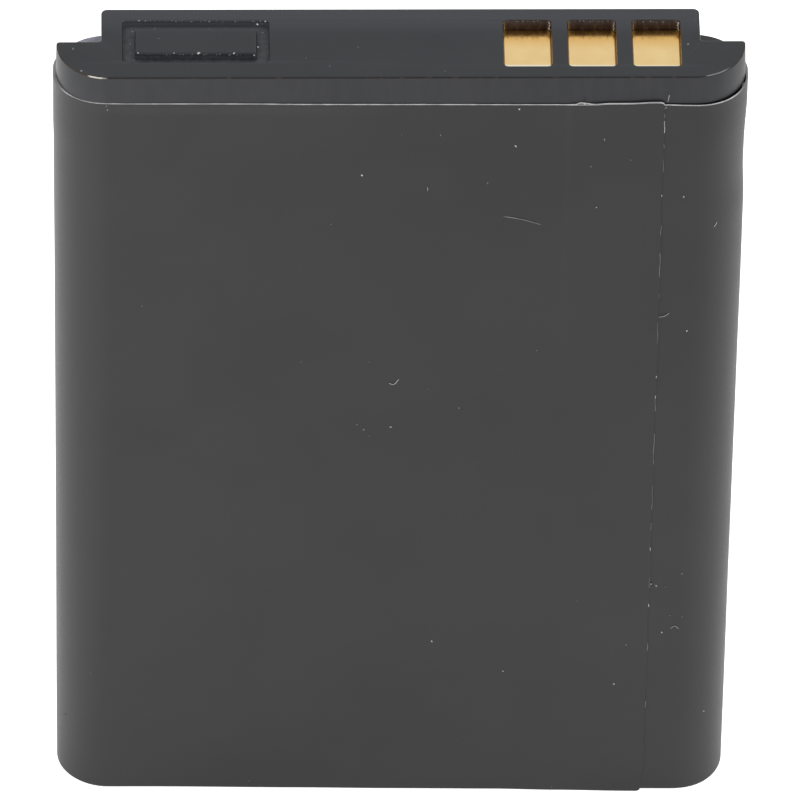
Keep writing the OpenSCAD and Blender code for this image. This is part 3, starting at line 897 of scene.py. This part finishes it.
def plated_part(node, axis, share, dark, pale):
    """A small part's material: its body between dark and pale tones, and tin on what lies further from its
    middle along that axis than that share of its half length."""
    made, tree, shader = material_tree(node + "_finish")
    low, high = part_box(node)
    axis_index = "XYZ".index(axis)
    middle = (low[axis_index] + high[axis_index]) / 2
    half = (high[axis_index] - low[axis_index]) / 2
    away = maths(tree, "SUBTRACT", place_in(tree)[axis], middle)
    away = maths(tree, "ABSOLUTE", away, 0.0)
    tin = maths(tree, "GREATER_THAN", away, share * half)
    mottle = grain(tree, 0.15 * MM, 3)
    body = mottled(tree, mottle, dark, pale)
    plate = mottled(tree, mottle, (0.66, 0.67, 0.68), (0.78, 0.79, 0.80))
    tree.links.new(tin, shader.inputs["Metallic"])
    tone = blend_colours(tree, tin, body, plate)
    dress(tree, shader, tone, spread(tree, mottle, 0.32, 0.5), mottle, 0.004 * MM)
    return made


def fuse_moulding():
    """The thermal fuse's black moulding, finely matte."""
    made, tree, shader = material_tree("fuse_moulding")
    fine = grain(tree, 0.07 * MM, 3)
    tone = mottled(tree, fine, (0.02, 0.02, 0.021), (0.034, 0.034, 0.035))
    dress(tree, shader, tone, spread(tree, fine, 0.45, 0.6), fine, 0.004 * MM)
    return made


finish_nodes(solder_mask(), "circuit_board")
finish_nodes(fuse_moulding(), "thermal_fuse")
for node in ("protection_chip", "switch_chip"):
    finish_nodes(plated_part(node, "Y", 0.57, (0.018, 0.018, 0.019), (0.030, 0.030, 0.031)), node)
for node in ("supply_resistor", "sense_resistor", "code_resistor"):
    finish_nodes(plated_part(node, "X", 0.5, (0.030, 0.030, 0.034), (0.050, 0.050, 0.055)), node)
for node in ("supply_capacitor", "filter_capacitor"):
    finish_nodes(plated_part(node, "X", 0.5, (0.38, 0.25, 0.15), (0.48, 0.34, 0.22)), node)


# Dust and lint: flakes of skin and paper, and threads, that lie on the battery as in the photograph: on the
# film, along the walls of the ring groove, at the windows and at the film's edge. Each flake is a jagged
# closed lump.
def jagged_flakes(name, places, seed):
    """Flakes at (x, y, z, width): a ball of 42 points, each pushed in or out by chance, then drawn out one
    way. They are pressed flat where they would stand above the battery's own box."""
    draw = np.random.default_rng(seed)
    ball = bmesh.new()
    bmesh.ops.create_icosphere(ball, subdivisions=2, radius=0.5)
    shape = np.array([vertex.co[:] for vertex in ball.verts])
    corners = np.array([[vertex.index for vertex in face.verts] for face in ball.faces])
    ball.free()
    points = []
    faces = []
    for index, (x, y, z, width) in enumerate(places):
        long_way = draw.normal(size=3)
        long_way /= np.linalg.norm(long_way)
        lump = shape * draw.uniform(0.6, 1.15, (len(shape), 1))
        lump = lump + 0.7 * (lump @ long_way)[:, None] * long_way
        points.append(lump * width + (x, y, z))
        faces.append(corners + index * len(shape))
    points = np.clip(np.concatenate(points) * MM, cad_low, cad_high)
    return mesh_of(name, points, np.concatenate(faces).tolist())


def front_flakes(spots):
    """Flake places on the film's front and round sides for spots of (x, z, width), at the film's own y."""
    places = []
    for x, z, width in spots:
        past_straight = max(abs(x) - film_end, 0)
        lapped = film_thin + lap_gap if seam_x - lap < x < seam_x else 0
        places.append((x, -math.sqrt(film_half_t ** 2 - past_straight ** 2) - lapped - 0.2 * width, z, width))
    return places


def lint(name, strands, sides=6):
    """Threads as closed tubes: each strand is (radius, points), and runs through the points on a smooth
    curve, the mean of straight runs between them over a third of a step."""
    points = []
    faces = []
    for radius, knots in strands:
        knots = np.array(knots)
        last = len(knots) - 1
        steps = np.linspace(0, last, 10 * len(knots))
        path = np.mean([[np.interp(np.clip(steps + shift, 0, last), np.arange(last + 1), knots[:, axis])
                         for axis in range(3)] for shift in np.linspace(-0.33, 0.33, 7)], axis=0).T
        ahead = np.gradient(path, axis=0)
        ahead /= np.linalg.norm(ahead, axis=1)[:, None]
        side = np.cross(ahead, (0.3, -1, 0.2))
        side /= np.linalg.norm(side, axis=1)[:, None]
        other = np.cross(ahead, side)
        from_start = np.arange(len(path))
        taper = radius * np.minimum(1, np.minimum(from_start + 1, len(path) - from_start) / 4)
        first = sum(len(block) for block in points)
        ring = [path + taper[:, None] * (side * math.cos(turned) + other * math.sin(turned))
                for turned in np.arange(sides) * 2 * np.pi / sides]
        points.append(np.stack(ring, 1).reshape(-1, 3))
        index = first + np.arange(len(path) * sides).reshape(-1, sides)
        beside = np.roll(index, -1, 1)
        faces += np.stack([index[:-1], beside[:-1], beside[1:], index[1:]], -1).reshape(-1, 4).tolist()
        faces += [index[0, ::-1].tolist(), index[-1].tolist()]
    return mesh_of(name, np.clip(np.concatenate(points) * MM, cad_low, cad_high), faces)


def pale_dust(name, dark, pale):
    """Flakes and threads: matte, each a little different in tone."""
    made, tree, shader = material_tree(name)
    tone = between(tree, grain(tree, 0.5 * MM, 3), 0.35, 0.65)
    dress(tree, shader, blend_colours(tree, tone, dark, pale), 0.85)
    return made


def lay(name, mesh, made):
    """Links a piece laid on the battery, which rides it: dirt, and the pale flakes of the windows' painted
    glints.
    """
    piece = linked(name, mesh)
    piece.data.materials.append(made)
    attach(piece, "root")


bright_spots = [(-1.87, 42.45, 0.09), (14.01, 41.07, 0.08), (9.72, 40.39, 0.07), (11.31, 7.68, 0.08),
                (8.29, 0.3, 0.07), (13.66, 11.28, 0.09), (2.01, 10.62, 0.07), (5.65, 8.52, 0.07),
                (5.67, 44.4, 0.09), (-7.64, 47.12, 0.08), (9.0, 47.27, 0.10), (15.95, 5.24, 0.07),
                (5.80, 46.84, 0.09), (14.4, 32.07, 0.07), (13.02, 14.66, 0.11), (13.3, 14.55, 0.07)]
faint_spots = [(-3.37, 39.18, 0.07), (-4.77, 29.91, 0.06), (-1.36, 29.91, 0.07), (1.58, 28.08, 0.06),
               (3.15, 26.79, 0.07), (3.39, 26.58, 0.06), (6.97, 30.73, 0.06), (-12.7, 33.65, 0.06),
               (4.32, 41.94, 0.07), (9.39, 43.1, 0.06), (11.34, 43.55, 0.06), (0.07, 45.1, 0.06),
               (1.96, 45.11, 0.06), (3.35, 3.62, 0.07), (-7.21, 0.68, 0.06), (11.87, 10.44, 0.07),
               (-15.28, 8.18, 0.06), (-16.59, 4.26, 0.07), (15.99, 24.05, 0.07), (-0.25, 25.48, 0.10),
               (-1.94, 25.66, 0.08), (-1.6, 25.3, 0.08), (-1.33, 24.91, 0.08), (-14.45, 47.0, 0.09),
               (-14.4, 46.72, 0.09), (14.58, 15.37, 0.07), (13.75, 14.46, 0.06), (14.05, 12.46, 0.06),
               (14.66, 12.36, 0.06), (9.32, 13.57, 0.06), (12.99, 16.13, 0.06)]
front_y = -film_half_t - 0.015
lap_y = front_y - film_thin - lap_gap
threads = [(0.016, [(1.37, front_y, 41.4), (1.38, front_y - 0.02, 41.53), (1.36, front_y, 41.68)]),
           (0.016, [(-0.40, front_y, 28.47), (-0.12, front_y - 0.03, 28.37), (0.14, front_y, 28.78)]),
           (0.009, [(5.02, front_y, 39.76), (6.11, front_y - 0.03, 39.55), (7.11, front_y, 39.15)]),
           (0.013, [(14.07, front_y, 11.5), (14.3, front_y - 0.03, 11.8), (14.53, front_y, 11.5)]),
           (0.013, [(10.02, lap_y, 44.8), (10.03, lap_y - 0.02, 45.0)]),
           (0.013, [(15.58, -2.42, 38.85), (15.66, -2.39, 38.97), (15.72, -2.34, 39.12)]),
           (0.012, [(13.14, -2.56, 47.75), (13.12, -2.63, 47.55), (13.07, -2.70, 47.35)]),
           (0.012, [(13.04, front_y, 47.02), (12.98, front_y - 0.02, 46.95), (12.86, front_y, 46.8)])]
pale = pale_dust("pale_dust", (0.34, 0.34, 0.35), (0.62, 0.62, 0.61))
grey = pale_dust("grey_dust", (0.12, 0.12, 0.125), (0.24, 0.24, 0.245))
lay("film_dust_bright", jagged_flakes("film_dust_bright", front_flakes(bright_spots), 3), pale)
lay("film_dust_faint", jagged_flakes("film_dust_faint", front_flakes(faint_spots), 5), grey)
lay("film_lint", lint("film_lint", threads), pale)


def seam_burrs(runs, radius):
    """Strands where the pale core shows along the film's cut end, one for each run of (low, high)."""
    strands = []
    for low, high in runs:
        heights = np.linspace(low, high, 4)
        points = [(seam_x + 0.02 * math.sin(5 * height), lap_y + 0.012, height) for height in heights]
        strands.append((radius, points))
    return strands


bright_runs = [(45.3, 46.15), (41.1, 41.25), (28.9, 29.05), (27.5, 27.7), (17.0, 17.25), (13.1, 13.3)]
dim_runs = [(42.7, 43.6), (44.3, 44.6), (46.3, 46.6), (34.3, 34.6), (38.5, 39.2), (35.6, 37.4),
            (31.2, 32.7), (26.6, 27.7), (22.9, 25.2), (19.8, 21.6), (18.4, 19.0), (14.4, 15.2),
            (10.0, 10.6), (6.0, 6.5)]
tick = [(0.013, [(12.93, lap_y, 33.04), (13.25, lap_y - 0.01, 33.08), (13.54, front_y, 33.31)])]
lay("seam_burrs_bright", lint("seam_burrs_bright", seam_burrs(bright_runs, 0.017) + tick), pale)
lay("seam_burrs_dim", lint("seam_burrs_dim", seam_burrs(dim_runs, 0.014)), grey)


def groove_crumbs():
    """Fine crumbs along the rear edge of the ring groove and the front edge of the block inside it, spaced
    by chance, and along the rear edge of each window."""
    draw = np.random.default_rng(11)
    rows = [(-13.4, -6.7, 1.64, 48.755, 0.16), (-12.9, -7.2, -0.80, 48.725, 0.2)]
    for middle in window_middles:
        rows.append((middle - 0.95, middle + 0.95, window_half[1] - 0.02, 48.765, 0.17))
    crumbs = []
    for first, last, y, z, step in rows:
        for x in np.arange(first, last, step):
            if draw.random() < 0.7:
                crumbs.append((x + draw.uniform(-0.4, 0.4) * step, y + draw.uniform(-0.05, 0.03), z,
                               draw.uniform(0.03, 0.07)))
    return crumbs


def window_glints():
    """Pale flakes up the rear right corner of each window, as a painted glint of light on the walls."""
    draw = np.random.default_rng(17)
    flakes = []
    for middle in window_middles:
        right = middle + window_half[0]
        for height in np.arange(48.25, 48.75, 0.055):
            flakes.append((right - 0.10 + draw.uniform(-0.03, 0.03), window_half[1] - 0.07, height,
                           draw.uniform(0.035, 0.075)))
    return flakes


edge_crumbs = [(-12.91, -0.76, 0.10), (-11.15, -0.76, 0.06), (-9.94, -0.76, 0.12), (-8.2, -0.76, 0.09),
               (-7.22, -0.9, 0.07), (-7.02, -0.3, 0.06), (-6.67, 1.60, 0.09), (-7.05, 1.38, 0.08),
               (-12.87, 1.62, 0.06)]
stray_crumbs = [(-4.67, -1.12, 0.06), (-3.52, -1.71, 0.07), (-16.1, -0.48, 0.09), (14.09, -0.02, 0.11),
                (2.13, -2.05, 0.06), (-13.3, -0.1, 0.07), (-11.9, 0.3, 0.05), (-2.1, -0.3, 0.06),
                (-15.68, -2.12, 0.10)]
edge_places = [(x, y, cap_top - 0.01, width) for x, y, width in edge_crumbs]
stray_places = [(x, y, cap_top, width) for x, y, width in stray_crumbs]
lay("cap_crumbs", jagged_flakes("cap_crumbs", edge_places, 7), pale)
lay("cap_specks", jagged_flakes("cap_specks", stray_places, 8), grey)
lay("groove_crumbs", jagged_flakes("groove_crumbs", groove_crumbs(), 13), grey)
# Painted glint: pale flakes, in the pale dust material, in the rear right corner of each window.
lay("window_glints", jagged_flakes("window_glints", window_glints(), 9), pale)
